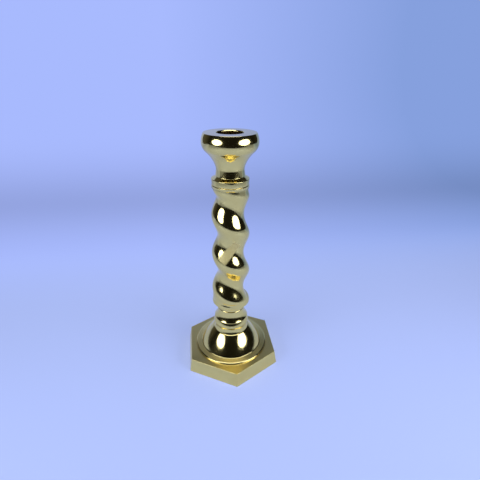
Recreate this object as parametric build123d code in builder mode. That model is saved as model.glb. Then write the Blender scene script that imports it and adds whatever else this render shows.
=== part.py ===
from build123d import *
import os
from math import cos, radians, sin, tan

os.makedirs("parts", exist_ok=True)

# Spiral candle holder, polished brass, modelled in millimetres.
# The origin is the middle of the foot's underside, +Z is up, and one corner of the foot points to -Y.
# The holder is a stack of turned and cast sections that a threaded rod pulls together.

# Stack heights, from the table up
plate_height = 14.0
dome_height = 20.5
collar_height = 8.0
knop_height = 17.5
column_height = 126.5
cup_height = 42.1

collar_seat = plate_height + dome_height
knop_seat = collar_seat + collar_height
column_seat = knop_seat + knop_height
cup_seat = column_seat + column_height
rim_top = cup_seat + cup_height

# Tie rod, M6, and what tightens it
rod_radius = 3.0
rod_end_chamfer = 0.6
rod_hole_clearance = 0.4
thread_clearance = 0.1
rod_hole_radius = rod_radius + rod_hole_clearance
thread_hole_radius = rod_radius + thread_clearance
rod_projection = 2.5
washer_radius = 6.0
washer_thickness = 1.6
spring_washer_radius = 5.9
spring_washer_thickness = 1.6
spring_washer_gap = 1.0
spring_gap_slant = 20
nut_across_flats = 10.0
nut_height = 5.0
nut_sides = 6
nut_corner_angle = 30

# Turned registers that centre each section on the next one
register_radius = 8.0
register_height = 2.5
register_clearance = 0.15
register_lead = 0.4
recess_radius = register_radius + register_clearance
recess_depth = register_height + register_clearance

cut_overrun = 1.0

# Foot
foot_across_flats = 88.9
foot_draft = 9
foot_edge = 0.5
foot_wall = 5.0
plate_thickness = 4.0
bead_land = 6.1
bead_height = 2.3
bead_edge = 0.8
dome_radius = 30.8
dome_step = 0.5
dome_bulge = 1.4
crown_radius = 17.6
dome_wall = 4.0
boss_radius = 9.5
boss_face = 21.0
foot_sides = 6
foot_turn = 30

# Foot collar
collar_fillet_radius = 17.2
collar_fillet_height = 1.3
collar_waist_radius = 15.2
collar_top_radius = 16.2
collar_top_height = 0.8
collar_edge = 0.4

# Knop
knop_ring_radius = 17.4
knop_ring_height = 2.2
knop_ring_edge = 0.25
shoulder_radius = 17.1
shoulder_bulge = 0.2
shoulder_turn_radius = 15.2
shoulder_turn_height = 4.7
shoulder_hollow = 0.15
knop_neck_radius = 13.4
knop_neck_height = 5.9
knop_top_edge = 0.4

# Twisted column: one strand, left-handed, that runs into a turned ring at each end
twist_pitch = 38.0
sections_a_turn = 12
strand_bottom_radius = 15.4
strand_top_radius = 14.3
strand_bottom_offset = 3.1
strand_top_offset = 2.3
strand_start_angle = 34
strand_run_out = 10.0
strand_end_radius = 15.4
column_neck_radius = 13.7
column_neck_height = 2.2
underside_height = 4.6
bottom_ring_radius = 18.3
bottom_ring_height = 1.6
bottom_ring_slope = 6.5
bottom_ring_bulge = 1.3
root_height = 12.5
root_edge = 0.3
top_ring_radius = 16.2
top_ring_height = 2.6
top_ring_edge = 0.9
column_floor = 6.0

# Candle cup
candle_bore_radius = 11.1
candle_bore_depth = 23.0
candle_bore_lead = 0.6
flange_radius = 16.3
flange_foot_radius = 15.7
flange_height = 6.0
flange_widest_height = 2.2
flange_shoulder_radius = 12.9
cup_neck_radius = 12.0
cup_neck_height = 9.6
trumpet_radius = 13.6
trumpet_height = 18.5
rim_root_radius = 20.2
rim_root_height = 27.3
rim_radius = 23.6
rim_widest_height = 34.8
rim_face_radius = 21.7
rim_edge = 0.5
tapped_depth = 13.0
rod_engagement = 11.5


# Hexagonal foot: a drafted plate with a domed middle, cored out underneath
washer_seat = boss_face
bead_radius = dome_radius + bead_land
crown_inner_height = collar_seat - dome_wall
bead_top = plate_height + bead_height
dome_spring = bead_top + dome_step
hollow_radius = dome_radius - dome_wall
hollow_crown_radius = crown_radius - dome_wall
pocket_depth = plate_height - plate_thickness

with BuildPart() as hex_foot:
    with BuildSketch():
        RegularPolygon(foot_across_flats / 2, foot_sides, major_radius=False, rotation=foot_turn)
    extrude(amount=plate_height, taper=foot_draft)
    levels = hex_foot.edges().group_by(Axis.Z)
    fillet(levels[-1] + levels[1], foot_edge)

    with BuildSketch(Plane.XZ):
        with BuildLine():
            Polyline((0, collar_seat), (0, pocket_depth), (bead_radius, pocket_depth))
            Polyline((bead_radius, pocket_depth), (bead_radius, bead_top), (dome_radius, bead_top))
            Line((dome_radius, bead_top), (dome_radius, dome_spring))
            SagittaArc((dome_radius, dome_spring), (crown_radius, collar_seat), -dome_bulge)
            Line((crown_radius, collar_seat), (0, collar_seat))
        make_face()
    revolve(axis=Axis.Z)
    foot_circles = hex_foot.edges().filter_by(GeomType.CIRCLE)
    bead_circles = foot_circles.filter_by_position(Axis.Z, plate_height, bead_top)
    fillet(bead_circles.group_by(SortBy.RADIUS)[-1].sort_by(Axis.Z)[-1], bead_edge)

    with BuildSketch():
        RegularPolygon(foot_across_flats / 2 - foot_wall, foot_sides, major_radius=False, rotation=foot_turn)
    extrude(amount=pocket_depth, taper=foot_draft, mode=Mode.SUBTRACT)

    with BuildSketch(Plane.XZ):
        with BuildLine():
            Polyline((0, boss_face), (0, -cut_overrun), (hollow_radius, -cut_overrun))
            Line((hollow_radius, -cut_overrun), (hollow_radius, bead_top))
            SagittaArc((hollow_radius, bead_top), (hollow_crown_radius, crown_inner_height), -dome_bulge)
            Line((hollow_crown_radius, crown_inner_height), (boss_radius, crown_inner_height))
            Polyline((boss_radius, crown_inner_height), (boss_radius, boss_face), (0, boss_face))
        make_face()
    revolve(axis=Axis.Z, mode=Mode.SUBTRACT)

    with Locations((0, 0, collar_seat)):
        CounterBoreHole(rod_hole_radius, recess_radius, recess_depth)

hex_foot.part.label = "hex_foot"
export_step(hex_foot.part, "parts/hex_foot.step")


# Foot collar: a turned spool between the dome and the knop
cove_foot = collar_seat + collar_fillet_height
cove_top = knop_seat - collar_top_height
cove_middle = (cove_foot + cove_top) / 2

with BuildPart() as foot_collar:
    with BuildSketch(Plane.XZ):
        with BuildLine():
            Polyline((0, knop_seat), (0, collar_seat), (collar_fillet_radius, collar_seat))
            Line((collar_fillet_radius, collar_seat), (collar_fillet_radius, cove_foot))
            Line((collar_fillet_radius, cove_foot), (collar_top_radius, cove_foot))
            ThreePointArc(
                (collar_top_radius, cove_foot),
                (collar_waist_radius, cove_middle),
                (collar_top_radius, cove_top),
            )
            Polyline((collar_top_radius, cove_top), (collar_top_radius, knop_seat), (0, knop_seat))
        make_face()
    revolve(axis=Axis.Z)
    collar_circles = foot_collar.edges().filter_by(GeomType.CIRCLE)
    lip_circles = collar_circles.filter_by_position(Axis.Z, collar_seat, cove_foot)
    fillet(lip_circles.group_by(SortBy.RADIUS)[-1].sort_by(Axis.Z)[-1], collar_edge)

    with BuildSketch(Plane.XY.offset(collar_seat - register_height)):
        Circle(register_radius)
    extrude(amount=register_height)
    chamfer(foot_collar.edges().group_by(Axis.Z)[0], register_lead)

    with Locations((0, 0, knop_seat)):
        CounterBoreHole(rod_hole_radius, recess_radius, recess_depth)

foot_collar.part.label = "foot_collar"
export_step(foot_collar.part, "parts/foot_collar.step")


# Knop: a turned ring, a shoulder that swells below and hollows above, and a short neck
ring_top = knop_seat + knop_ring_height
shoulder_turn = (shoulder_turn_radius, ring_top + shoulder_turn_height)
neck_foot = column_seat - knop_neck_height

with BuildPart() as knop:
    with BuildSketch(Plane.XZ):
        with BuildLine():
            Polyline((0, column_seat), (0, knop_seat), (knop_ring_radius, knop_seat))
            Line((knop_ring_radius, knop_seat), (knop_ring_radius, ring_top))
            Line((knop_ring_radius, ring_top), (shoulder_radius, ring_top))
            SagittaArc((shoulder_radius, ring_top), shoulder_turn, -shoulder_bulge)
            SagittaArc(shoulder_turn, (knop_neck_radius, neck_foot), shoulder_hollow)
            Polyline((knop_neck_radius, neck_foot), (knop_neck_radius, column_seat), (0, column_seat))
        make_face()
    revolve(axis=Axis.Z)
    knop_circles = knop.edges().filter_by(GeomType.CIRCLE)
    ring_circles = knop_circles.filter_by_position(Axis.Z, knop_seat, ring_top)
    fillet(ring_circles.group_by(SortBy.RADIUS)[-1], knop_ring_edge)
    fillet(knop.edges().group_by(Axis.Z)[-1], knop_top_edge)

    with BuildSketch(Plane.XY.offset(knop_seat - register_height)):
        Circle(register_radius)
    extrude(amount=register_height)
    chamfer(knop.edges().group_by(Axis.Z)[0], register_lead)

    with Locations((0, 0, column_seat)):
        CounterBoreHole(rod_hole_radius, recess_radius, recess_depth)

knop.part.label = "knop"
export_step(knop.part, "parts/knop.step")


# Twisted column: a disc set off the axis that circles it as it rises, cored for the rod
strand_height = column_height - top_ring_height
section_count = round(sections_a_turn * strand_height / twist_pitch)
strand_reach = strand_bottom_radius + strand_bottom_offset
valley_radius = strand_bottom_radius - strand_bottom_offset
envelope_radius = strand_reach + cut_overrun
column_neck_top = column_seat + column_neck_height
bottom_ring_foot = column_neck_top + underside_height
bottom_ring_top = bottom_ring_foot + bottom_ring_height
bottom_ring_root = bottom_ring_top + bottom_ring_slope
top_ring_foot = cup_seat - top_ring_height
root_radius = bottom_ring_radius - root_edge
root_top = bottom_ring_top + root_height
root_angle = radians(strand_start_angle - 360 * (root_top - column_seat) / twist_pitch)
root_offset = root_radius - valley_radius
core_depth = column_height - column_floor

with BuildPart() as twist_column:
    for section in range(section_count + 1):
        rise_share = section / section_count
        rise = rise_share * strand_height
        run_share = min(1, (strand_height - rise) / strand_run_out)
        twist_share = run_share**2 * (3 - 2 * run_share)
        full_radius = strand_bottom_radius + rise_share * (strand_top_radius - strand_bottom_radius)
        full_offset = strand_bottom_offset + rise_share * (strand_top_offset - strand_bottom_offset)
        strand_radius = strand_end_radius + twist_share * (full_radius - strand_end_radius)
        strand_offset = twist_share * full_offset
        strand_angle = radians(strand_start_angle - 360 * rise / twist_pitch)
        with BuildSketch(Plane.XY.offset(column_seat + rise)):
            with Locations((strand_offset * cos(strand_angle), strand_offset * sin(strand_angle))):
                Circle(strand_radius)
    loft()

    with BuildSketch(Plane.XZ):
        with BuildLine():
            Polyline((0, cup_seat), (0, column_seat), (column_neck_radius, column_seat))
            Line((column_neck_radius, column_seat), (column_neck_radius, column_neck_top))
            TangentArc(
                (strand_reach, bottom_ring_foot), (column_neck_radius, column_neck_top), tangent=(0, -1)
            )
            Line((strand_reach, bottom_ring_foot), (envelope_radius, bottom_ring_foot))
            Polyline((envelope_radius, bottom_ring_foot), (envelope_radius, cup_seat), (0, cup_seat))
        make_face()
    revolve(axis=Axis.Z, mode=Mode.INTERSECT)

    with BuildSketch(Plane.XZ):
        with BuildLine():
            Line((0, column_seat), (column_neck_radius, column_seat))
            Line((column_neck_radius, column_seat), (column_neck_radius, column_neck_top))
            TangentArc(
                (bottom_ring_radius, bottom_ring_foot),
                (column_neck_radius, column_neck_top),
                tangent=(0, -1),
            )
            Line((bottom_ring_radius, bottom_ring_foot), (bottom_ring_radius, bottom_ring_top))
            SagittaArc(
                (bottom_ring_radius, bottom_ring_top), (valley_radius, bottom_ring_root), -bottom_ring_bulge
            )
            Polyline((valley_radius, bottom_ring_root), (0, bottom_ring_root), (0, column_seat))
        make_face()
    revolve(axis=Axis.Z)

    # The strand's root: the first groove is filled where it would start, so the strand grows out of the ring
    with BuildSketch(Plane.XY.offset(bottom_ring_foot)):
        Circle(root_radius)
    with BuildSketch(Plane.XY.offset(root_top)):
        with Locations((root_offset * cos(root_angle), root_offset * sin(root_angle))):
            Circle(valley_radius)
    loft()

    with BuildSketch(Plane.XZ):
        with BuildLine():
            Polyline((0, cup_seat), (0, top_ring_foot), (top_ring_radius, top_ring_foot))
            Line((top_ring_radius, top_ring_foot), (top_ring_radius, cup_seat - top_ring_edge))
            TangentArc(
                (top_ring_radius, cup_seat - top_ring_edge),
                (top_ring_radius - top_ring_edge, cup_seat),
                tangent=(0, 1),
            )
            Line((top_ring_radius - top_ring_edge, cup_seat), (0, cup_seat))
        make_face()
    revolve(axis=Axis.Z)

    with BuildSketch(Plane.XY.offset(column_seat - register_height)):
        Circle(register_radius)
    extrude(amount=register_height)
    chamfer(twist_column.edges().group_by(Axis.Z)[0], register_lead)

    with Locations((0, 0, cup_seat)):
        CounterBoreHole(rod_hole_radius, recess_radius, core_depth)

twist_column.part.label = "twist_column"
export_step(twist_column.part, "parts/twist_column.step")


# Candle cup: half-round flange, trumpet neck and thick rolled rim, bored for the candle
flange_widest = cup_seat + flange_widest_height
flange_top = cup_seat + flange_height
neck_waist = cup_seat + cup_neck_height
rim_root = cup_seat + rim_root_height
rim_widest = cup_seat + rim_widest_height

with BuildPart() as candle_cup:
    with BuildSketch(Plane.XZ):
        with BuildLine():
            Polyline((0, rim_top), (0, cup_seat), (flange_foot_radius, cup_seat))
            TangentArc((flange_radius, flange_widest), (flange_foot_radius, cup_seat), tangent=(0, -1))
            TangentArc((flange_radius, flange_widest), (flange_shoulder_radius, flange_top), tangent=(0, 1))
            TangentArc((cup_neck_radius, neck_waist), (flange_shoulder_radius, flange_top), tangent=(0, -1))
            rim_side = (rim_radius, rim_widest)
            rim_underside = TangentArc(rim_side, (rim_root_radius, rim_root), tangent=(0, -1))
            Spline(
                (rim_root_radius, rim_root),
                (trumpet_radius, cup_seat + trumpet_height),
                (cup_neck_radius, neck_waist),
                tangents=(rim_underside % 1, (0, -1)),
            )
            TangentArc(rim_side, (rim_face_radius, rim_top), tangent=(0, 1))
            Line((rim_face_radius, rim_top), (0, rim_top))
        make_face()
    revolve(axis=Axis.Z)
    fillet(candle_cup.edges().group_by(Axis.Z)[-1], rim_edge)

    with Locations((0, 0, rim_top)):
        Hole(candle_bore_radius, depth=candle_bore_depth)
    top_circles = candle_cup.edges().filter_by(GeomType.CIRCLE).group_by(Axis.Z)[-1]
    chamfer(top_circles.group_by(SortBy.RADIUS)[0], candle_bore_lead)

    with BuildSketch(Plane.XY.offset(cup_seat - register_height)):
        Circle(register_radius)
    extrude(amount=register_height)
    chamfer(candle_cup.edges().group_by(Axis.Z)[0], register_lead)

    with BuildSketch(Plane.XY.offset(cup_seat - register_height)):
        Circle(thread_hole_radius)
    extrude(amount=tapped_depth, mode=Mode.SUBTRACT)

candle_cup.part.label = "candle_cup"
export_step(candle_cup.part, "parts/candle_cup.step")


# What pulls the stack together, hidden in the foot's hollow
washer_foot = washer_seat - washer_thickness
spring_foot = washer_foot - spring_washer_thickness
nut_foot = spring_foot - nut_height
rod_foot = nut_foot - rod_projection
rod_head = cup_seat - register_height + rod_engagement

with BuildPart() as tie_rod:
    with BuildSketch(Plane.XY.offset(rod_foot)):
        Circle(rod_radius)
    extrude(amount=rod_head - rod_foot)
    chamfer(tie_rod.edges().filter_by(GeomType.CIRCLE), rod_end_chamfer)

tie_rod.part.label = "tie_rod"
export_step(tie_rod.part, "parts/tie_rod.step")

with BuildPart() as plain_washer:
    with BuildSketch(Plane.XY.offset(washer_foot)):
        Circle(washer_radius)
        Circle(rod_hole_radius, mode=Mode.SUBTRACT)
    extrude(amount=washer_thickness)

plain_washer.part.label = "plain_washer"
export_step(plain_washer.part, "parts/plain_washer.step")

gap_lean = spring_washer_thickness / 2 * tan(radians(spring_gap_slant))

with BuildPart() as spring_washer:
    with BuildSketch(Plane.XY.offset(spring_foot)):
        Circle(spring_washer_radius)
        Circle(rod_hole_radius, mode=Mode.SUBTRACT)
    extrude(amount=spring_washer_thickness)
    with BuildSketch(Plane.YZ):
        with Locations((0, spring_foot + spring_washer_thickness / 2)):
            Polygon(
                (-spring_washer_gap / 2 - gap_lean, -spring_washer_thickness / 2),
                (spring_washer_gap / 2 - gap_lean, -spring_washer_thickness / 2),
                (spring_washer_gap / 2 + gap_lean, spring_washer_thickness / 2),
                (-spring_washer_gap / 2 + gap_lean, spring_washer_thickness / 2),
            )
    extrude(amount=spring_washer_radius + cut_overrun, mode=Mode.SUBTRACT)

spring_washer.part.label = "spring_washer"
export_step(spring_washer.part, "parts/spring_washer.step")

nut_flat_radius = nut_across_flats / 2
nut_corner_radius = nut_flat_radius / cos(radians(nut_corner_angle))
nut_bevel = (nut_corner_radius - nut_flat_radius) * tan(radians(nut_corner_angle))

with BuildPart() as rod_nut:
    with BuildSketch(Plane.XY.offset(nut_foot)):
        RegularPolygon(nut_flat_radius, nut_sides, major_radius=False)
        Circle(thread_hole_radius, mode=Mode.SUBTRACT)
    extrude(amount=nut_height)
    with BuildSketch(Plane.XZ):
        with BuildLine():
            Line((0, nut_foot), (nut_flat_radius, nut_foot))
            Line((nut_flat_radius, nut_foot), (nut_corner_radius, nut_foot + nut_bevel))
            Line((nut_corner_radius, nut_foot + nut_bevel), (nut_corner_radius, spring_foot - nut_bevel))
            Line((nut_corner_radius, spring_foot - nut_bevel), (nut_flat_radius, spring_foot))
            Polyline((nut_flat_radius, spring_foot), (0, spring_foot), (0, nut_foot))
        make_face()
    revolve(axis=Axis.Z, mode=Mode.INTERSECT)

rod_nut.part.label = "rod_nut"
export_step(rod_nut.part, "parts/rod_nut.step")
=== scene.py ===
import math

import bmesh
import bpy
from mathutils import Matrix, Vector


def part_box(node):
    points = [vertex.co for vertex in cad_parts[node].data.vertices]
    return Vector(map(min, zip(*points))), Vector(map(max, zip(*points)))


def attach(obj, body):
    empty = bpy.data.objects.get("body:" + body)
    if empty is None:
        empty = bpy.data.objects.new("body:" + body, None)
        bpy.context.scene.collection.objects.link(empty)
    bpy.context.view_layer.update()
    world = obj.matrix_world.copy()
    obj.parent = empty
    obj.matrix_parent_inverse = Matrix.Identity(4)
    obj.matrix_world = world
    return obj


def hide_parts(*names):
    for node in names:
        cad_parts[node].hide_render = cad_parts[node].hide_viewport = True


# Spiral candle holder in polished brass. The frame is in metres. The sizes below are in millimetres and the
# angles in degrees, unless a comment says otherwise.
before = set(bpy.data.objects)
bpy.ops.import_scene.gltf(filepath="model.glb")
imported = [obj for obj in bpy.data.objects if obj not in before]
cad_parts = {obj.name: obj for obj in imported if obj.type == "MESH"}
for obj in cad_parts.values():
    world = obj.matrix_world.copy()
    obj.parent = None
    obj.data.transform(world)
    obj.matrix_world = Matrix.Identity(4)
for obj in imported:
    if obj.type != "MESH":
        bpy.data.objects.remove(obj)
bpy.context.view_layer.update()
mm = 0.001


def seatOn(node):
    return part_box(node)[1].z / mm      # a section's top face, which the next one stands on


def linearColour(hexCode):
    channels = [int(hexCode[i:i + 2], 16) / 255 for i in (1, 3, 5)]
    curve = [c / 12.92 if c <= 0.04045 else ((c + 0.055) / 1.055) ** 2.4 for c in channels]
    return (*curve, 1)


def addNode(tree, kind, links=None, **settings):
    node = tree.nodes.new(kind)
    for name, value in settings.items():
        setattr(node, name, value)
    for key, value in (links or {}).items():
        if isinstance(value, bpy.types.Node):
            tree.links.new(value.outputs[0], node.inputs[key])
        elif isinstance(value, bpy.types.NodeSocket):
            tree.links.new(value, node.inputs[key])
        else:
            node.inputs[key].default_value = value
    return node


# Profiles are lists of (radius, height), drawn from below upwards and outside first.
def arcBySag(start, end, sag, steps=14):
    ax, ay, bx, by = *start, *end
    chord = math.hypot(bx - ax, by - ay)
    nx, ny = -(by - ay) / chord, (bx - ax) / chord      # left of the way from start to end
    radius = (chord * chord / 4 + sag * sag) / (2 * abs(sag))
    side = math.copysign(1, sag)
    cx = (ax + bx) / 2 - nx * side * (radius - abs(sag))
    cy = (ay + by) / 2 - ny * side * (radius - abs(sag))
    first = math.atan2(ay - cy, ax - cx)
    turn = math.remainder(math.atan2(by - cy, bx - cx) - first, math.tau)
    angles = [first + turn * i / steps for i in range(steps + 1)]
    return [(cx + radius * math.cos(a), cy + radius * math.sin(a)) for a in angles]


def arcByTangent(start, end, tangent, steps=14):
    dx, dy = end[0] - start[0], end[1] - start[1]
    chord = math.hypot(dx, dy)
    swing = math.atan2(tangent[0] * dy - tangent[1] * dx, tangent[0] * dx + tangent[1] * dy)
    return arcBySag(start, end, -chord / 2 * math.tan(swing / 2), steps)


def curveThrough(points, firstSlope, lastSlope, steps=12):
    # a smooth curve through three points, whose slope in the middle follows from the slopes at its ends
    a, b, c = points
    into, onwards = math.dist(a, b), math.dist(b, c)
    share = 2 * (1 / into + 1 / onwards)
    middleSlope = []
    for k in (0, 1):
        pull = 3 * ((b[k] - a[k]) / into ** 2 + (c[k] - b[k]) / onwards ** 2)
        middleSlope.append((pull - firstSlope[k] / into - lastSlope[k] / onwards) / share)
    made = []
    for p, q, leaving, arriving, span in ((a, b, firstSlope, middleSlope, into),
                                          (b, c, middleSlope, lastSlope, onwards)):
        for i in range(steps + 1):
            t = i / steps
            atStart, atEnd = 2 * t**3 - 3 * t**2 + 1, 3 * t**2 - 2 * t**3
            outwards, inwards = (t**3 - 2 * t**2 + t) * span, (t**3 - t**2) * span
            made.append(tuple(atStart * p[k] + outwards * leaving[k] + atEnd * q[k] + inwards * arriving[k]
                              for k in (0, 1)))
    return made


# A corner that turns by less than leastTurn stays as drawn. A rounding takes at most sideShare of each side
# beside it. A long side gets one more row, a little past the rounding's end, that keeps its shading flat.
rounding = {"samePlace": 1e-5, "leastTurn": 24, "sideShare": 0.4, "holdShare": 0.6, "holdRoom": 2.5}


def softened(points, radius, closed=True, steps=4):
    tidy = []
    for point in points:
        if not tidy or math.dist(point, tidy[-1]) > rounding["samePlace"]:
            tidy.append(point)
    if closed and math.dist(tidy[0], tidy[-1]) < rounding["samePlace"]:
        tidy.pop()
    made = []
    for i, corner in enumerate(tidy):
        if not closed and i in (0, len(tidy) - 1):
            made.append(corner)
            continue
        before, after = Vector(tidy[i - 1]), Vector(tidy[(i + 1) % len(tidy)])
        corner = Vector(corner)
        inwards, outwards = corner - before, after - corner
        turn = math.acos(max(-1, min(1, inwards.normalized().dot(outwards.normalized()))))
        if math.degrees(turn) < rounding["leastTurn"]:
            made.append(tuple(corner))
            continue
        most = rounding["sideShare"]
        reach = min(radius * math.tan(turn / 2), most * inwards.length, most * outwards.length)
        first, last = corner - inwards.normalized() * reach, corner + outwards.normalized() * reach
        hold = rounding["holdShare"] * reach
        longSide = rounding["holdRoom"] * (reach + hold)
        if inwards.length > longSide:
            made.append(tuple(first - inwards.normalized() * hold))
        for k in range(steps + 1):
            t = k / steps
            made.append(tuple((1 - t) ** 2 * first + 2 * t * (1 - t) * corner + t * t * last))
        if outwards.length > longSide:
            made.append(tuple(last + outwards.normalized() * hold))
    return made


def circleRow(radius, height, angles):
    return [Vector((radius * math.cos(a), radius * math.sin(a), height)) * mm for a in angles]


def meshFromRows(name, rows, materials, materialOfRow=None, closed=True):
    # joins each row of points to the next with a band of quads, where a row on the axis is a single point
    mesh = bpy.data.meshes.new(name)
    bm = bmesh.new()
    onAxis = rounding["samePlace"] * mm
    made = [[bm.verts.new(p) for p in (row[:1] if row[0].xy.length < onAxis else row)] for row in rows]
    pairs = list(zip(range(len(made)), [*range(1, len(made)), 0]))
    for lower, upper in pairs if closed else pairs[:-1]:
        a, b = made[lower], made[upper]
        for i in range(max(len(a), len(b))):
            ring = [a[i % len(a)], a[(i + 1) % len(a)], b[(i + 1) % len(b)], b[i % len(b)]]
            ring = [v for k, v in enumerate(ring) if v not in ring[:k]]
            if len(ring) > 2:
                face = bm.faces.new(ring)
                face.material_index = materialOfRow[lower] if materialOfRow else 0
    bmesh.ops.recalc_face_normals(bm, faces=bm.faces)
    bm.to_mesh(mesh)
    bm.free()
    mesh.shade_smooth()
    for material in materials:
        mesh.materials.append(material)
    piece = bpy.data.objects.new(name, mesh)
    bpy.context.scene.collection.objects.link(piece)
    return piece


def turnedPiece(name, profile, materials, materialOfRow=None, around=224, closed=True):
    angles = [math.tau * i / around for i in range(around)]
    rows = [circleRow(r, z, angles) for r, z in profile]
    return meshFromRows(name, rows, materials, materialOfRow, closed)


def handIn(piece, node):
    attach(piece, "root")
    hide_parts(node)
    print(piece.name, "has", sum(len(p.vertices) - 2 for p in piece.data.polygons), "triangles")


def newMaterial(name):
    material = bpy.data.materials.new(name)
    material.use_nodes = True
    material.node_tree.nodes.clear()
    return material, material.node_tree


# Materials: yellow brass in four finishes
brass = {
    "clean": "#F5E08C",          # yellow brass, 63 parts copper to 37 of zinc
    "warm": "#EBD07A",           # where the lacquer has yellowed
    "cast": "#B99A55",           # the skin that the sand leaves
    "mirrorRoughness": (0.09, 0.15),
    "groundRoughness": (0.30, 0.40),
    "castRoughness": (0.42, 0.6),
    "cloudSize": 14.0,
    "cloudBand": (0.35, 0.7),    # the part of the clouds' noise that goes from the glossy end to the dull one
    "buffSize": 9.0,
    "buffDepth": 0.006,
    "turningPitch": 0.5,         # a finishing cut is finer, and is drawn as coarse as it needs to show
    "turningDepth": 0.0006,
    "grainSize": 0.9,
    "grainDepth": 0.03,
}


# A dull tan matt stripe across the second strand, from one point of the front (x, z) to another. It fades out
# between the two depths (y) of "behind". The eye gets a matt stripe that cuts through the mirror.
tanStripe = {
    "from": (5.0, 135.0), "to": (-10.0, 118.0), "width": 7.4, "edge": 0.9, "behind": (-5, 0),
    "colour": "#E6CE7C", "roughness": 0.5, "metallic": 0.25,
}


def tanStripeShare(tree, place):
    start, end = [Vector((x, 0, z)) for x, z in (tanStripe["from"], tanStripe["to"])]
    along = (end - start).normalized()
    across = Vector((-along.z, 0, along.x))
    half, edge, whole = tanStripe["width"] / 2, tanStripe["edge"], (end - start).length
    fromStart = addNode(tree, "ShaderNodeVectorMath", {0: place, 1: start * mm}, operation="SUBTRACT")
    run = addNode(tree, "ShaderNodeVectorMath", {0: fromStart, 1: along}, operation="DOT_PRODUCT")
    run = run.outputs["Value"]
    aside = addNode(tree, "ShaderNodeVectorMath", {0: fromStart, 1: across}, operation="DOT_PRODUCT")
    offLine = addNode(tree, "ShaderNodeMath", {0: aside.outputs["Value"]}, operation="ABSOLUTE")
    depth = addNode(tree, "ShaderNodeSeparateXYZ", {0: place}).outputs["Y"]
    ends = [(offLine, half - edge, half + edge), (run, whole - edge, whole + edge), (depth, *tanStripe["behind"])]
    notPast = [addNode(tree, "ShaderNodeMapRange", {0: value, 1: low * mm, 2: high * mm, 3: 1, 4: 0})
               for value, low, high in ends]
    begun = addNode(tree, "ShaderNodeMapRange", {0: run, 1: -edge * mm, 2: edge * mm})
    share = notPast[0]
    for part in (notPast[1], begun, notPast[2]):
        share = addNode(tree, "ShaderNodeMath", {0: share, 1: part}, operation="MULTIPLY")
    return share


def polishedBrass(name, roughness, turned=0.0, buffing=1.0, streaked=False):
    material, tree = newMaterial(name)
    place = addNode(tree, "ShaderNodeTexCoord").outputs["Object"]
    clouds = addNode(tree, "ShaderNodeTexNoise",
                     {"Vector": place, "Scale": 1 / (brass["cloudSize"] * mm), "Detail": 3})
    colour = addNode(tree, "ShaderNodeMix",
                     {0: clouds, 6: linearColour(brass["clean"]), 7: linearColour(brass["warm"])},
                     data_type="RGBA")
    low, high = brass["cloudBand"]
    gloss = addNode(tree, "ShaderNodeMapRange",
                    {0: clouds, 1: low, 2: high, 3: roughness[0], 4: roughness[1]})
    metal = 1
    if streaked:
        share = tanStripeShare(tree, place)
        colour = addNode(tree, "ShaderNodeMix",
                         {0: share, 6: colour.outputs[2], 7: linearColour(tanStripe["colour"])}, data_type="RGBA")
        gloss = addNode(tree, "ShaderNodeMix", {0: share, 2: gloss, 3: tanStripe["roughness"]})
        metal = addNode(tree, "ShaderNodeMapRange", {0: share, 3: 1, 4: tanStripe["metallic"]})
    buff = addNode(tree, "ShaderNodeTexNoise",
                   {"Vector": place, "Scale": 1 / (brass["buffSize"] * mm), "Detail": 1})
    waves = addNode(tree, "ShaderNodeBump",
                    {"Height": buff, "Strength": 1, "Distance": brass["buffDepth"] * mm * buffing})
    parts = addNode(tree, "ShaderNodeSeparateXYZ", {0: place})
    out = addNode(tree, "ShaderNodeVectorMath", {0: place, 1: (1, 1, 0)}, operation="MULTIPLY")
    fromAxis = addNode(tree, "ShaderNodeVectorMath", {0: out}, operation="LENGTH")
    ring = addNode(tree, "ShaderNodeCombineXYZ", {0: fromAxis.outputs["Value"], 2: parts.outputs["Z"]})
    turning = addNode(tree, "ShaderNodeTexNoise",
                      {"Vector": ring, "Scale": 1 / (brass["turningPitch"] * mm), "Detail": 2})
    marks = addNode(tree, "ShaderNodeBump", {"Height": turning, "Strength": 1, "Normal": waves,
                                             "Distance": brass["turningDepth"] * mm * turned})
    shader = addNode(tree, "ShaderNodeBsdfPrincipled",
                     {"Base Color": colour.outputs[2], "Metallic": metal, "Roughness": gloss,
                      "Normal": marks})
    addNode(tree, "ShaderNodeOutputMaterial", {"Surface": shader})
    return material


def castBrass(name):
    material, tree = newMaterial(name)
    place = addNode(tree, "ShaderNodeTexCoord").outputs["Object"]
    grain = addNode(tree, "ShaderNodeTexNoise",
                    {"Vector": place, "Scale": 1 / (brass["grainSize"] * mm), "Detail": 4})
    colour = addNode(tree, "ShaderNodeMix",
                     {0: grain, 6: linearColour(brass["cast"]), 7: linearColour(brass["warm"])},
                     data_type="RGBA")
    low, high = brass["castRoughness"]
    gloss = addNode(tree, "ShaderNodeMapRange", {0: grain, 3: low, 4: high})
    sand = addNode(tree, "ShaderNodeBump",
                   {"Height": grain, "Strength": 1, "Distance": brass["grainDepth"] * mm})
    shader = addNode(tree, "ShaderNodeBsdfPrincipled",
                     {"Base Color": colour.outputs[2], "Metallic": 1, "Roughness": gloss, "Normal": sand})
    addNode(tree, "ShaderNodeOutputMaterial", {"Surface": shader})
    return material


# Turned and buffed: a mirror with faint rings round the axis, so the lamps and the room show as clear shapes
turnedBrass = polishedBrass("turned and buffed brass", brass["mirrorRoughness"], turned=1)
# Cast and buffed by hand: the same mirror, with slightly wavy reflections
strandBrass = polishedBrass("cast and buffed brass", brass["mirrorRoughness"], buffing=1.5, streaked=True)
# Ground flat and polished: a soft sheen, whose reflections run together into broad tones
plateBrass = polishedBrass("ground and polished brass", brass["groundRoughness"], buffing=0.5)
# Left as it came from the sand, under the foot: dull, darker and grainy
roughBrass = castBrass("sand-cast brass")

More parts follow.
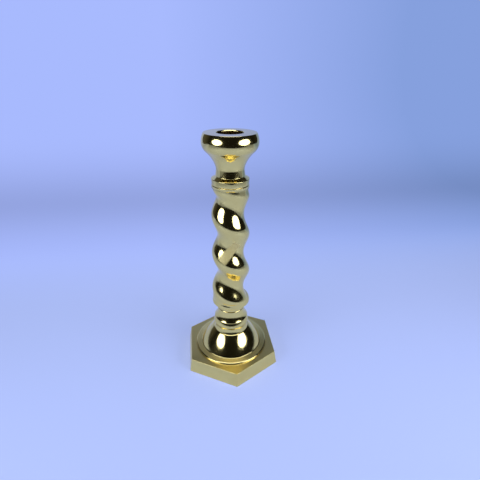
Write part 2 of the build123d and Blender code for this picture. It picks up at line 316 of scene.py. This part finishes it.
# Zinc-plated steel, for the rod and its nut: bluish grey with faint patches, half glossy
zinc = {"clean": "#C9CBCE", "dull": "#9FA3A8", "roughness": (0.25, 0.42), "patchSize": 2.5}
zincSteel, zincTree = newMaterial("zinc-plated steel")
zincPlace = addNode(zincTree, "ShaderNodeTexCoord").outputs["Object"]
zincPatches = addNode(zincTree, "ShaderNodeTexNoise",
                      {"Vector": zincPlace, "Scale": 1 / (zinc["patchSize"] * mm), "Detail": 4})
zincColour = addNode(zincTree, "ShaderNodeMix",
                     {0: zincPatches, 6: linearColour(zinc["clean"]), 7: linearColour(zinc["dull"])},
                     data_type="RGBA")
zincGloss = addNode(zincTree, "ShaderNodeMapRange",
                    {0: zincPatches, 3: zinc["roughness"][0], 4: zinc["roughness"][1]})
zincShader = addNode(zincTree, "ShaderNodeBsdfPrincipled",
                     {"Base Color": zincColour.outputs[2], "Metallic": 1, "Roughness": zincGloss})
addNode(zincTree, "ShaderNodeOutputMaterial", {"Surface": zincShader})
print("materials made")


# What each section shares with its neighbours
joint = {"rodHole": 3.4, "registerRadius": 8.0, "registerHeight": 2.5, "registerLead": 0.4, "clearance": 0.15}
recessRadius = joint["registerRadius"] + joint["clearance"]
recessDepth = joint["registerHeight"] + joint["clearance"]


def registerBelow(seat, bore):
    r, deep, lead = joint["registerRadius"], joint["registerHeight"], joint["registerLead"]
    return [(bore, seat - deep), (r - lead, seat - deep), (r, seat - deep + lead), (r, seat)]


def recessAbove(seat):
    return [(recessRadius, seat), (recessRadius, seat - recessDepth), (joint["rodHole"], seat - recessDepth)]


# Hexagonal foot
foot = {
    "acrossFlats": 88.9, "plateHeight": 14.0, "draft": 9, "edge": 0.5, "cornerEdge": 0.6,
    "beadRadius": 36.9, "beadHeight": 2.0, "beadEdge": 1.5, "landRise": 0.7,
    "domeRadius": 30.7, "domeBulge": 0.85, "domeFillet": 0.8, "crownRadius": 17.6,
    "wall": 5.0, "plateThickness": 4.0, "domeWall": 4.0, "bossRadius": 9.5, "bossFace": 21.0,
    "smallEdge": 0.2, "pocketEdge": 0.4, "hold": 0.9, "landMargin": 0.3,
    "pointsASide": 24, "pointsACorner": 4,
    "domeSteps": 40, "filletSteps": 5,      # the fillet at the dome's foot takes the first of its steps
}
collarSeat = seatOn("hex_foot")


def hexagonRow(apothem, corner, height):
    row = []
    half = (apothem - corner) * math.tan(math.pi / 6)
    for side in range(6):
        facing = math.pi / 3 * side
        out = Vector((math.cos(facing), math.sin(facing), 0))
        along = Vector((-math.sin(facing), math.cos(facing), 0))
        up = Vector((0, 0, height))
        for i in range(foot["pointsASide"] + 1):
            row.append(out * apothem + along * half * (2 * i / foot["pointsASide"] - 1) + up)
        centre = out * (apothem - corner) + along * half
        for k in range(1, foot["pointsACorner"]):
            a = facing + math.pi / 3 * k / foot["pointsACorner"]
            row.append(centre + Vector((math.cos(a), math.sin(a), 0)) * corner + up)
    return [p * mm for p in row]


halfWidth = foot["acrossFlats"] / 2
lean = math.tan(math.radians(foot["draft"]))
topHalfWidth = halfWidth - foot["plateHeight"] * lean
pocketDepth = foot["plateHeight"] - foot["plateThickness"]
beadTop = foot["plateHeight"] + foot["beadHeight"]
landTop = beadTop + foot["landRise"]
domeFoot = (foot["domeRadius"], landTop)
crown = (foot["crownRadius"], collarSeat)
hollowFoot = (foot["domeRadius"] - foot["domeWall"], beadTop)
hollowCrown = (foot["crownRadius"] - foot["domeWall"], collarSeat - foot["domeWall"])
hold, smallEdge = foot["hold"], foot["smallEdge"]

outside = softened([(halfWidth - hold, 0), (halfWidth, 0), (topHalfWidth, foot["plateHeight"]),
                    (topHalfWidth - hold, foot["plateHeight"])], foot["edge"], closed=False)
domeArc = arcBySag(domeFoot, crown, -foot["domeBulge"], foot["domeSteps"])
afterFillet = foot["filletSteps"] + 1
landEnd = (foot["beadRadius"] - foot["beadEdge"], beadTop)
filletCorner = [landEnd, domeFoot, domeArc[foot["filletSteps"]]]
domeFillet = softened(filletCorner, foot["domeFillet"], closed=False, steps=8)
quarterSag = 1 - math.sqrt(0.5)      # a quarter circle's sag, as a share of its radius
beadSide = (foot["beadRadius"], beadTop - foot["beadEdge"])
domeProfile = softened([
    (foot["beadRadius"] + hold / 2, foot["plateHeight"]), (foot["beadRadius"], foot["plateHeight"]),
    *arcBySag(beadSide, landEnd, -foot["beadEdge"] * quarterSag, steps=6),
    *domeFillet[1:], *domeArc[afterFillet:],
], smallEdge, closed=False)
insideProfile = softened([
    crown, *recessAbove(collarSeat),
    (joint["rodHole"], foot["bossFace"]), (foot["bossRadius"], foot["bossFace"]),
    (foot["bossRadius"], hollowCrown[1]), *arcBySag(hollowCrown, hollowFoot, foot["domeBulge"], steps=20),
    (hollowFoot[0], pocketDepth), (hollowFoot[0] + hold / 2, pocketDepth),
], smallEdge, closed=False)[1:]
pocketTop = halfWidth - foot["wall"] - pocketDepth * lean
pocket = softened([(pocketTop - hold, pocketDepth), (pocketTop, pocketDepth), (halfWidth - foot["wall"], 0),
                   (halfWidth - foot["wall"] + hold, 0)], foot["pocketEdge"], closed=False)

guide = [math.atan2(p.y, p.x) for p in hexagonRow(topHalfWidth, foot["cornerEdge"], 0)]
footRows = [hexagonRow(w, foot["cornerEdge"], z) for w, z in outside]
footRows += [circleRow(r, z, guide) for r, z in domeProfile + insideProfile]
footRows += [hexagonRow(w, foot["cornerEdge"], z) for w, z in pocket]

# The plate and the land are ground, the bead's side and the dome turned and buffed, the inside left as cast
ground, buffed, cast = 0, 1, 2
landStart, landLow = foot["domeRadius"] + foot["domeFillet"], beadTop - foot["landMargin"]
domeRows = [ground if r > landStart and z > landLow else buffed for r, z in domeProfile[:-1]]
footMaterials = [ground] * (len(outside) + 1) + domeRows + [cast] * (len(insideProfile) + len(pocket))
footMaterials[-1] = ground
hexFoot = meshFromRows("hexagonalFoot", footRows, [plateBrass, turnedBrass, roughBrass], footMaterials)
handIn(hexFoot, "hex_foot")


# Foot collar, a turned spool
collar = {"footRadius": 17.3, "footHeight": 2.8, "bandRadius": 16.1, "bandHollow": 0.3, "edge": 0.3}
knopSeat = seatOn("foot_collar")
bandFoot = collarSeat + collar["footHeight"]
collarProfile = softened([
    *registerBelow(collarSeat, joint["rodHole"]),
    (collar["footRadius"], collarSeat),
    *arcBySag((collar["bandRadius"], bandFoot), (collar["bandRadius"], knopSeat), collar["bandHollow"]),
    *recessAbove(knopSeat),
], collar["edge"])
handIn(turnedPiece("footCollar", collarProfile, [turnedBrass]), "foot_collar")


# Knop: ring, sloping shoulder and neck
knop = {
    "ringRadius": 17.5, "ringTopRadius": 17.1, "ringHeight": 2.2, "grooveRadius": 15.8, "grooveHeight": 2.9,
    "lipRadius": 16.5, "lipHeights": (3.3, 3.8), "turnRadius": 14.9, "turnHeight": 6.2,
    "neckRadius": 13.4, "neckHeight": 5.1, "edge": 0.25, "topEdge": 1.1,
}
columnSeat = seatOn("knop")
ringTop = knopSeat + knop["ringHeight"]
shoulderTurn = (knop["turnRadius"], ringTop + knop["turnHeight"])
neckFoot = (knop["neckRadius"], columnSeat - knop["neckHeight"])
knopProfile = softened([
    *registerBelow(knopSeat, joint["rodHole"]),
    (knop["ringRadius"], knopSeat), (knop["ringTopRadius"], ringTop),
    (knop["grooveRadius"], ringTop + knop["grooveHeight"]),
    *[(knop["lipRadius"], ringTop + height) for height in knop["lipHeights"]],
    shoulderTurn, neckFoot,
    *arcByTangent((knop["neckRadius"], columnSeat - knop["topEdge"]),
                  (knop["neckRadius"] - knop["topEdge"], columnSeat), (0, 1), steps=6),
    *recessAbove(columnSeat),
], knop["edge"])
handIn(turnedPiece("turnedKnop", knopProfile, [turnedBrass]), "knop")


# Twisted column: a turned blank, and a disc off the axis that circles it as it rises
column = {
    "pitch": 38.0, "bottomRadius": 15.4, "topRadius": 14.3, "bottomOffset": 3.1, "topOffset": 2.3,
    "startAngle": 34, "runOut": 10.0, "endRadius": 15.4, "creaseWidth": 1.2,
    "blankRadius": 11.0, "rowStep": 0.42, "blendRows": 8, "around": 224,
    "neckRadius": 13.7, "neckHeight": 2.2, "neckEdge": 0.8, "undersideHeight": 4.6,
    "ringRadius": 18.3, "ringHeight": 1.6, "slopeHeight": 6.5, "slopeBulge": 1.3,
    "rootHeight": 12.5, "rootEdge": 0.3, "rootFade": 4.0, "rootSink": 8.0,
    "topRingRadius": 16.2, "topRingHeight": 2.6, "topRingEdge": 0.3, "floor": 6.0, "edge": 0.3,
}
cupSeat = seatOn("twist_column")
neckTop = columnSeat + column["neckHeight"]
ringFoot = neckTop + column["undersideHeight"]
bottomRingTop = ringFoot + column["ringHeight"]
slopeTop = bottomRingTop + column["slopeHeight"]
valley = column["bottomRadius"] - column["bottomOffset"]
strandTop = cupSeat - column["topRingHeight"]
rootTop = bottomRingTop + column["rootHeight"]
rootRadius = column["ringRadius"] - column["rootEdge"]
rootTurn = math.radians(column["startAngle"]) - math.tau * (rootTop - columnSeat) / column["pitch"]
neckEdge = arcByTangent((column["neckRadius"], columnSeat + column["neckEdge"]),
                        (column["neckRadius"] - column["neckEdge"], columnSeat), (0, -1), steps=6)[::-1]
underside = arcByTangent((column["neckRadius"], neckTop), (column["ringRadius"], ringFoot), (0, 1))
slope = arcBySag((column["ringRadius"], bottomRingTop), (valley, slopeTop), -column["slopeBulge"], steps=16)
rowCount = round((strandTop - slopeTop) / column["rowStep"])
plainStretch = [(column["blankRadius"], slopeTop + (strandTop - slopeTop) * i / rowCount)
                for i in range(1, rowCount + 1)]
topRing = [
    (column["topRingRadius"], strandTop),
    *arcByTangent((column["topRingRadius"], cupSeat - column["topRingEdge"]),
                  (column["topRingRadius"] - column["topRingEdge"], cupSeat), (0, 1), steps=6),
]
below = softened([
    (joint["rodHole"], columnSeat + column["floor"]), *registerBelow(columnSeat, joint["rodHole"]),
    *neckEdge, *underside, (column["ringRadius"], bottomRingTop),
], column["edge"], closed=False)[1:]
above = [*topRing, (recessRadius, cupSeat), (recessRadius, columnSeat + column["floor"]),
         (joint["rodHole"], columnSeat + column["floor"])]
blank = below + slope[1:] + plainStretch + above
slopeShares = [min(1, i / column["blendRows"]) for i in range(1, len(slope))]
twistedShare = [0] * len(below) + slopeShares + [1] * len(plainStretch) + [0] * len(above)

twistColumn = turnedPiece("twistedColumn", blank, [strandBrass], around=column["around"])
shares = twistColumn.data.attributes.new("twistedShare", "FLOAT", "POINT")
shares.data.foreach_set("value", [share for share in twistedShare for _ in range(column["around"])])

# The tree moves each point of the blank out to the strand or to its root, whichever reaches further there,
# with a soft crease between them. The root is a second disc that keeps its angle, grows off the axis and
# fades away.
twist = bpy.data.node_groups.new("twist a blank", "GeometryNodeTree")
twist.interface.new_socket("Geometry", in_out="INPUT", socket_type="NodeSocketGeometry")
twistSizes = {
    "Seat": columnSeat * mm, "Height": (strandTop - columnSeat) * mm, "Pitch": column["pitch"] * mm,
    "Bottom Radius": column["bottomRadius"] * mm, "Top Radius": column["topRadius"] * mm,
    "Bottom Offset": column["bottomOffset"] * mm, "Top Offset": column["topOffset"] * mm,
    "Start Angle": math.radians(column["startAngle"]), "Run Out": column["runOut"] * mm,
    "End Radius": column["endRadius"] * mm, "Crease Width": column["creaseWidth"] * mm,
    "Root Foot": (ringFoot - columnSeat) * mm, "Root Top": (rootTop - columnSeat) * mm,
    "Root Angle": rootTurn, "Root Radius": rootRadius * mm, "Root End Radius": valley * mm,
    "Root Offset": (rootRadius - valley) * mm,
    "Root Fade": column["rootFade"] * mm, "Root Sink": column["rootSink"] * mm,
}
twistSockets = {}
for name in twistSizes:
    socket = twist.interface.new_socket(name, in_out="INPUT", socket_type="NodeSocketFloat")
    twistSockets[name] = socket.identifier
materialSocket = twist.interface.new_socket("Material", in_out="INPUT", socket_type="NodeSocketMaterial")
twist.interface.new_socket("Geometry", in_out="OUTPUT", socket_type="NodeSocketGeometry")
given = addNode(twist, "NodeGroupInput").outputs
position = addNode(twist, "GeometryNodeInputPosition")
split = addNode(twist, "ShaderNodeSeparateXYZ", {0: position}).outputs
rise = addNode(twist, "ShaderNodeMath", {0: split["Z"], 1: given["Seat"]}, operation="SUBTRACT")
fullRadius = addNode(twist, "ShaderNodeMapRange", {0: rise, 1: 0.0, 2: given["Height"],
                                                   3: given["Bottom Radius"], 4: given["Top Radius"]})
fullOffset = addNode(twist, "ShaderNodeMapRange", {0: rise, 1: 0.0, 2: given["Height"],
                                                   3: given["Bottom Offset"], 4: given["Top Offset"]})
runFrom = addNode(twist, "ShaderNodeMath", {0: given["Height"], 1: given["Run Out"]}, operation="SUBTRACT")
runOut = addNode(twist, "ShaderNodeMapRange", {0: rise, 1: runFrom, 2: given["Height"], 3: 1.0, 4: 0.0},
                 interpolation_type="SMOOTHSTEP")
discRadius = addNode(twist, "ShaderNodeMix", {0: runOut, 2: given["End Radius"], 3: fullRadius})
discOffset = addNode(twist, "ShaderNodeMath", {0: fullOffset, 1: runOut}, operation="MULTIPLY")
turns = addNode(twist, "ShaderNodeMath", {0: rise, 1: given["Pitch"]}, operation="DIVIDE")
turned = addNode(twist, "ShaderNodeMath", {0: turns, 1: math.tau}, operation="MULTIPLY")
discAngle = addNode(twist, "ShaderNodeMath", {0: given["Start Angle"], 1: turned}, operation="SUBTRACT")
pointAngle = addNode(twist, "ShaderNodeMath", {0: split["Y"], 1: split["X"]}, operation="ARCTAN2")


def reachOfDisc(radius, offset, angle):
    # how far a disc off the axis reaches out towards a point of the blank
    between = addNode(twist, "ShaderNodeMath", {0: pointAngle, 1: angle}, operation="SUBTRACT")
    cosine = addNode(twist, "ShaderNodeMath", {0: between}, operation="COSINE")
    sine = addNode(twist, "ShaderNodeMath", {0: between}, operation="SINE")
    ahead = addNode(twist, "ShaderNodeMath", {0: offset, 1: cosine}, operation="MULTIPLY")
    aside = addNode(twist, "ShaderNodeMath", {0: offset, 1: sine}, operation="MULTIPLY")
    asideSquare = addNode(twist, "ShaderNodeMath", {0: aside, 1: aside}, operation="MULTIPLY")
    discSquare = addNode(twist, "ShaderNodeMath", {0: radius, 1: radius}, operation="MULTIPLY")
    left = addNode(twist, "ShaderNodeMath", {0: discSquare, 1: asideSquare}, operation="SUBTRACT")
    chord = addNode(twist, "ShaderNodeMath", {0: left}, operation="SQRT")
    return addNode(twist, "ShaderNodeMath", {0: ahead, 1: chord}, operation="ADD")


strandReach = reachOfDisc(discRadius, discOffset, discAngle)
rootRadiusHere = addNode(twist, "ShaderNodeMapRange", {0: rise, 1: given["Root Foot"], 2: given["Root Top"],
                                                       3: given["Root Radius"], 4: given["Root End Radius"]})
rootOffsetHere = addNode(twist, "ShaderNodeMapRange", {0: rise, 1: given["Root Foot"], 2: given["Root Top"],
                                                       3: 0.0, 4: given["Root Offset"]})
rootReach = reachOfDisc(rootRadiusHere, rootOffsetHere, given["Root Angle"])
fadeFrom = addNode(twist, "ShaderNodeMath", {0: given["Root Top"], 1: given["Root Fade"]},
                   operation="SUBTRACT")
fadeTo = addNode(twist, "ShaderNodeMath", {0: given["Root Top"], 1: given["Root Fade"]}, operation="ADD")
sink = addNode(twist, "ShaderNodeMapRange", {0: rise, 1: fadeFrom, 2: fadeTo, 3: 0.0, 4: given["Root Sink"]},
               interpolation_type="SMOOTHSTEP")
rootShown = addNode(twist, "ShaderNodeMath", {0: rootReach, 1: sink}, operation="SUBTRACT")
flat = addNode(twist, "ShaderNodeCombineXYZ", {0: split["X"], 1: split["Y"]})
blankRadius = addNode(twist, "ShaderNodeVectorMath", {0: flat}, operation="LENGTH").outputs["Value"]
crease = given["Crease Width"]
rooted = addNode(twist, "ShaderNodeMath", {0: blankRadius, 1: rootShown, 2: crease}, operation="SMOOTH_MAX")
joined = addNode(twist, "ShaderNodeMath", {0: rooted, 1: strandReach, 2: crease}, operation="SMOOTH_MAX")
share = addNode(twist, "GeometryNodeInputNamedAttribute", {"Name": "twistedShare"}, data_type="FLOAT")
newRadius = addNode(twist, "ShaderNodeMix", {0: share, 2: blankRadius, 3: joined})
growth = addNode(twist, "ShaderNodeMath", {0: newRadius, 1: blankRadius}, operation="DIVIDE")
grown = addNode(twist, "ShaderNodeVectorMath", {0: flat, "Scale": growth}, operation="SCALE")
lift = addNode(twist, "ShaderNodeCombineXYZ", {2: split["Z"]})
newPlace = addNode(twist, "ShaderNodeVectorMath", {0: grown, 1: lift}, operation="ADD")
pushed = addNode(twist, "GeometryNodeSetPosition", {"Geometry": given["Geometry"], "Position": newPlace})
realized = addNode(twist, "GeometryNodeRealizeInstances", {"Geometry": pushed})
painted = addNode(twist, "GeometryNodeSetMaterial", {"Geometry": realized, "Material": given["Material"]})
addNode(twist, "NodeGroupOutput", {"Geometry": painted})

twister = twistColumn.modifiers.new("twist", "NODES")
twister.node_group = twist
for name, socket in twistSockets.items():
    twister[socket] = twistSizes[name]
twister[materialSocket.identifier] = strandBrass
evaluated = twistColumn.evaluated_get(bpy.context.evaluated_depsgraph_get())
plainMesh = bpy.data.meshes.new_from_object(evaluated)
twistColumn.modifiers.remove(twister)
twistColumn.data = plainMesh
plainMesh.shade_smooth()
handIn(twistColumn, "twist_column")


# Candle cup
cup = {
    "flangeRadius": 16.3, "flangeFootRadius": 15.7, "flangeFlare": 0.4, "flangeBand": (0.3, 5.0),
    "flangeEdge": 0.5, "shoulderRadius": 12.7, "shoulderHeight": 7.3, "neckRadius": 12.0, "neckHeight": 12.6,
    "trumpetRadius": 13.6, "trumpetHeight": 18.5, "rootRadius": 20.2, "rootHeight": 27.3,
    "rimRadius": 23.6, "rimWidest": 34.8, "faceRadius": 21.7, "edge": 0.35,
    "boreRadius": 11.1, "boreDepth": 23.0, "boreLead": 0.6, "tappedDepth": 13.0, "threadRadius": 3.1,
}
rimTop = seatOn("candle_cup")
flangeLow = (cup["flangeRadius"] - cup["flangeFlare"], cupSeat + cup["flangeBand"][0])
flangeHigh = (cup["flangeRadius"], cupSeat + cup["flangeBand"][1])
flangeTop = (cup["flangeRadius"] - cup["flangeEdge"], flangeHigh[1] + cup["flangeEdge"])
shoulder = (cup["shoulderRadius"], cupSeat + cup["shoulderHeight"])
neck = (cup["neckRadius"], cupSeat + cup["neckHeight"])
trumpet = (cup["trumpetRadius"], cupSeat + cup["trumpetHeight"])
rimRoot = (cup["rootRadius"], cupSeat + cup["rootHeight"])
rimSide = (cup["rimRadius"], cupSeat + cup["rimWidest"])
rimUnderside = arcByTangent(rimSide, rimRoot, (0, -1), steps=16)
rimFace = arcByTangent(rimSide, (cup["faceRadius"], rimTop), (0, 1), steps=16)
flangeEdge = arcByTangent(flangeHigh, flangeTop, (0, 1), steps=6)
rootSlope = (Vector(rimUnderside[-1]) - Vector(rimUnderside[-2])).normalized()
tapTop = cupSeat - joint["registerHeight"] + cup["tappedDepth"]
flareDown = curveThrough([rimRoot, trumpet, neck], tuple(rootSlope), (0, -1))
boreFloor = rimTop - cup["boreDepth"]
cupProfile = softened([
    (0, tapTop), (cup["threadRadius"], tapTop), *registerBelow(cupSeat, cup["threadRadius"]),
    (cup["flangeFootRadius"], cupSeat), flangeLow, *flangeEdge, shoulder,
    *flareDown[::-1], *rimUnderside[::-1], *rimFace,
    (cup["boreRadius"] + cup["boreLead"], rimTop), (cup["boreRadius"], rimTop - cup["boreLead"]),
    (cup["boreRadius"], boreFloor), (0, boreFloor),
], cup["edge"], closed=False)
handIn(turnedPiece("candleCup", cupProfile, [turnedBrass], closed=False), "candle_cup")

# The rod, washers and nut are drawn by their solids alone
for name in ("tie_rod", "plain_washer", "spring_washer", "rod_nut"):
    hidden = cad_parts[name]
    hidden.data.materials.clear()
    hidden.data.materials.append(zincSteel)
print("pieces made")


# Stage, in metres: one pale sweep, floor and wall in one, that is narrower at the wall. What the camera,
# reflections and refraction see of it is in part a glow of its own, which has the photo's tones and lights
# nothing. The glow's share grows with depth (y), from some of it round the holder, so the floor keeps the
# holder's shadow, to all of it behind.
stage = {
    "floorSides": (-2.0, 2.0), "wallSides": (-0.75, 1.2), "front": -0.6, "wall": 0.95, "bend": 0.45,
    "height": 0.8, "bendSteps": 16, "paper": "#D8E0FC", "roughness": 0.7, "specular": 0.2,
    # painted shade: the wall's glow goes from lighter at the left to darker at the right
    "shownLitLeft": "#A8BAFE", "shownShadedRight": "#86A0DE", "shownAcross": (-0.1, 0.7),
    "shownFloor": "#B6C8FF", "floorEnd": (0.0, 0.3), "shownShare": (0.35, 1), "shownDepth": (0.0, 0.25),
    # painted shade: the glow is dimmer along the bend where the floor turns up into the wall
    "bendShade": (0.76, 1.0), "bendShadeWidth": 0.3,
}
sweepLine = [(stage["front"], 0), (stage["wall"] - stage["bend"], 0)]
for i in range(1, stage["bendSteps"] + 1):
    a = math.pi / 2 * i / stage["bendSteps"]
    sweepLine.append((stage["wall"] - stage["bend"] * (1 - math.sin(a)), stage["bend"] * (1 - math.cos(a))))
sweepLine.append((stage["wall"], stage["height"]))
sweepMesh = bpy.data.meshes.new("paperSweep")
fullWidth, halfBend = stage["wall"] - stage["bend"], stage["bend"] / 2
narrowed = [max(0, min(1, (y - fullWidth) / halfBend)) for y, z in sweepLine]
sweepPoints = [(floorSide + (wallSide - floorSide) * share, y, z)
               for (y, z), share in zip(sweepLine, narrowed)
               for floorSide, wallSide in zip(stage["floorSides"], stage["wallSides"])]
sweepFaces = [(2 * i, 2 * i + 1, 2 * i + 3, 2 * i + 2) for i in range(len(sweepLine) - 1)]
sweepMesh.from_pydata(sweepPoints, [], sweepFaces)
sweepMesh.shade_smooth()

# Matt background paper, uncoated: an even pale tone without any reflection of its own
paper, paperTree = newMaterial("matt background paper")
paperShader = addNode(paperTree, "ShaderNodeBsdfPrincipled",
                      {"Base Color": linearColour(stage["paper"]), "Roughness": stage["roughness"],
                       "Specular IOR Level": stage["specular"]})
paperPlace = addNode(paperTree, "ShaderNodeTexCoord").outputs["Object"]
paperParts = addNode(paperTree, "ShaderNodeSeparateXYZ", {0: paperPlace}).outputs
acrossFrom, acrossTo = stage["shownAcross"]
across = addNode(paperTree, "ShaderNodeMapRange", {0: paperParts["X"], 1: acrossFrom, 2: acrossTo})
# painted shade: the glow's colour darkens from left to right across the wall
wallShownShaded = addNode(paperTree, "ShaderNodeMix",
                    {0: across, 6: linearColour(stage["shownLitLeft"]), 7: linearColour(stage["shownShadedRight"])},
                    data_type="RGBA")
floorFrom, floorTo = stage["floorEnd"]
floorShare = addNode(paperTree, "ShaderNodeMapRange",
                     {0: paperParts["Y"], 1: floorFrom, 2: floorTo, 3: 1, 4: 0},
                     interpolation_type="SMOOTHSTEP")
shown = addNode(paperTree, "ShaderNodeMix",
                {0: floorShare, 6: wallShownShaded.outputs[2], 7: linearColour(stage["shownFloor"])},
                data_type="RGBA")
bendStart = stage["wall"] - stage["bend"]
fromBend = addNode(paperTree, "ShaderNodeMath", {0: paperParts["Y"], 1: bendStart}, operation="SUBTRACT")
beside = addNode(paperTree, "ShaderNodeMath", {0: fromBend}, operation="ABSOLUTE")
atBend, awayFromBend = stage["bendShade"]
# painted shade along the bend: the glow's strength drops towards the bend line
bendShade = addNode(paperTree, "ShaderNodeMapRange",
                    {0: beside, 1: 0.0, 2: stage["bendShadeWidth"], 3: atBend, 4: awayFromBend},
                    interpolation_type="SMOOTHSTEP")
glow = addNode(paperTree, "ShaderNodeEmission", {"Color": shown.outputs[2], "Strength": bendShade})
rays = addNode(paperTree, "ShaderNodeLightPath").outputs
seen = addNode(paperTree, "ShaderNodeMath", {0: rays["Is Camera Ray"], 1: rays["Is Glossy Ray"]})
seenToo = addNode(paperTree, "ShaderNodeMath", {0: seen, 1: rays["Is Transmission Ray"]}, use_clamp=True)
shownFrom, shownTo = stage["shownDepth"]
leastShown, mostShown = stage["shownShare"]
far = addNode(paperTree, "ShaderNodeMapRange",
              {0: paperParts["Y"], 1: shownFrom, 2: shownTo, 3: leastShown, 4: mostShown},
              interpolation_type="SMOOTHSTEP")
glowShare = addNode(paperTree, "ShaderNodeMath", {0: seenToo, 1: far}, operation="MULTIPLY")
paperMix = addNode(paperTree, "ShaderNodeMixShader", {0: glowShare, 1: paperShader, 2: glow})
addNode(paperTree, "ShaderNodeOutputMaterial", {"Surface": paperMix})
sweepMesh.materials.append(paper)
sweep = bpy.data.objects.new("paperSweep", sweepMesh)
bpy.context.scene.collection.objects.link(sweep)

# Camera, fitted to the photograph's hexagon and rings
camera = {
    "place": (-30.07, -271.03, 269.51), "pitch": 26.584, "yaw": -8.142, "roll": 0.516,
    "lens": 24.825, "sensorWidth": 36, "nearest": 10,
}
cameraData = bpy.data.cameras.new("camera")
cameraData.lens = camera["lens"]
cameraData.sensor_width = camera["sensorWidth"]
cameraData.clip_start = camera["nearest"] * mm
cameraObject = bpy.data.objects.new("camera", cameraData)
turn = Matrix.Rotation(math.radians(camera["yaw"]), 4, "Z")
tip = Matrix.Rotation(math.radians(90 - camera["pitch"]), 4, "X")
spin = Matrix.Rotation(math.radians(camera["roll"]), 4, "Z")
cameraObject.matrix_world = Matrix.Translation(Vector(camera["place"]) * mm) @ turn @ tip @ spin
bpy.context.scene.collection.objects.link(cameraObject)
bpy.context.scene.camera = cameraObject

# Two oval soft boxes left and right of the camera, tipped down towards the holder, and a large one overhead
# that gives the plain light level
lamps = {
    "leftBox": {"azimuth": -58, "reach": 475, "height": 300, "tip": 12,
                "width": 350, "length": 240, "radiance": 6},
    "rightBox": {"azimuth": 50, "reach": 475, "height": 300, "tip": 12,
                 "width": 420, "length": 240, "radiance": 6},
    "topBox": {"azimuth": 0, "reach": 150, "height": 1000, "tip": 82,
               "width": 900, "length": 750, "radiance": 3.6},
}
lampColour = "#CFDBFF"      # cool daylight
for name, lamp in lamps.items():
    width, length = lamp["width"] * mm, lamp["length"] * mm
    data = bpy.data.lights.new(name, "AREA")
    data.shape = "ELLIPSE"
    data.size, data.size_y = width, length
    data.color = linearColour(lampColour)[:3]
    data.energy = lamp["radiance"] * math.pi * width * length * math.pi / 4     # pi times radiance and area
    box = bpy.data.objects.new(name, data)
    azimuth, up = math.radians(lamp["azimuth"]), math.radians(lamp["tip"])
    away = Vector((math.sin(azimuth), -math.cos(azimuth), 0))
    box.location = (away * lamp["reach"] + Vector((0, 0, lamp["height"]))) * mm
    box.rotation_mode = "QUATERNION"
    box.rotation_quaternion = (away * math.cos(up) + Vector((0, 0, math.sin(up)))).to_track_quat("Z", "Y")
    bpy.context.scene.collection.objects.link(box)

# The dim room: dark in front, where the brass mirrors it as black, and lighter behind, more so at the left
room = {
    "colour": "#B9BCC4", "front": 0.016, "backLeft": 0.14, "backRight": 0.045,
    "leftToRight": (-0.05, 0.2), "frontToBack": (0.1, 0.6),
}
world = bpy.data.worlds.new("dim studio")
world.use_nodes = True
roomTree = world.node_tree
roomTree.nodes.clear()
towards = addNode(roomTree, "ShaderNodeTexCoord").outputs["Generated"]
way = addNode(roomTree, "ShaderNodeSeparateXYZ", {0: towards}).outputs
left, right = room["leftToRight"]
backLight = addNode(roomTree, "ShaderNodeMapRange",
                    {0: way["X"], 1: left, 2: right, 3: room["backLeft"], 4: room["backRight"]})
front, back = room["frontToBack"]
roomLight = addNode(roomTree, "ShaderNodeMapRange",
                    {0: way["Y"], 1: front, 2: back, 3: room["front"], 4: backLight})
roomShade = addNode(roomTree, "ShaderNodeBackground",
                    {"Color": linearColour(room["colour"]), "Strength": roomLight})
addNode(roomTree, "ShaderNodeOutputWorld", {"Surface": roomShade})
bpy.context.scene.world = world
bpy.context.scene.view_settings.view_transform = "Standard"
print("stage, camera and lamps made")
